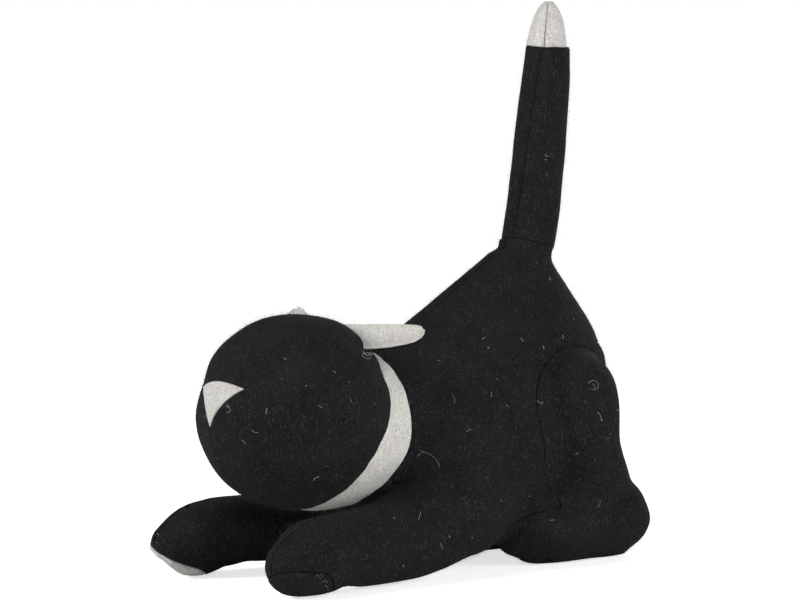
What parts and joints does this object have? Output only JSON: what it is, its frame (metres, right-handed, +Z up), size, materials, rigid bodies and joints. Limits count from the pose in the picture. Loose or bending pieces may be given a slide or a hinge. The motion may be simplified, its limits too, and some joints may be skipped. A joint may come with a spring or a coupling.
{
  "type": "cat door stop",
  "caption": "Stuffed felt door stop in the shape of a cat crouching to play, with a weighted body on flat soles, a round head on a grey neck strip and an upright tail.",
  "frame": {"origin": "middle of the footprint, on the floor under the soles", "axes": "+Z up the tail, -Y towards the face, +X to the cat's left"},
  "size_m": [0.1812, 0.3018, 0.3701],
  "materials": {
    "felt_black": "black wool felt with a short nap, matt",
    "felt_grey": "pale grey heathered wool felt, matt",
    "filling": "loose white fibre",
    "sand_bag": "plain calico"
  },
  "bodies": {
    "root": {"body_filling": "filling", "body_side_left": "felt_black", "body_side_right": "felt_black", "cheek_left": "felt_black", "cheek_right": "felt_black", "collar": "felt_grey", "ear_back_left": "felt_black", "ear_back_right": "felt_black", "ear_lining_left": "felt_grey", "ear_lining_right": "felt_grey", "front_sole_left": "felt_black", "front_sole_right": "felt_grey", "head_filling": "filling", "head_top": "felt_black", "hind_leg_left": "felt_black", "hind_leg_right": "felt_black", "hind_sole_left": "felt_black", "hind_sole_right": "felt_black", "nose": "felt_grey", "rump_gusset": "felt_black", "sand_bag": "sand_bag", "tail_filling": "filling", "tail_left": "felt_black", "tail_right": "felt_black", "tail_tip_left": "felt_grey", "tail_tip_right": "felt_grey", "underbody": "felt_black"}
  },
  "joints": []
}
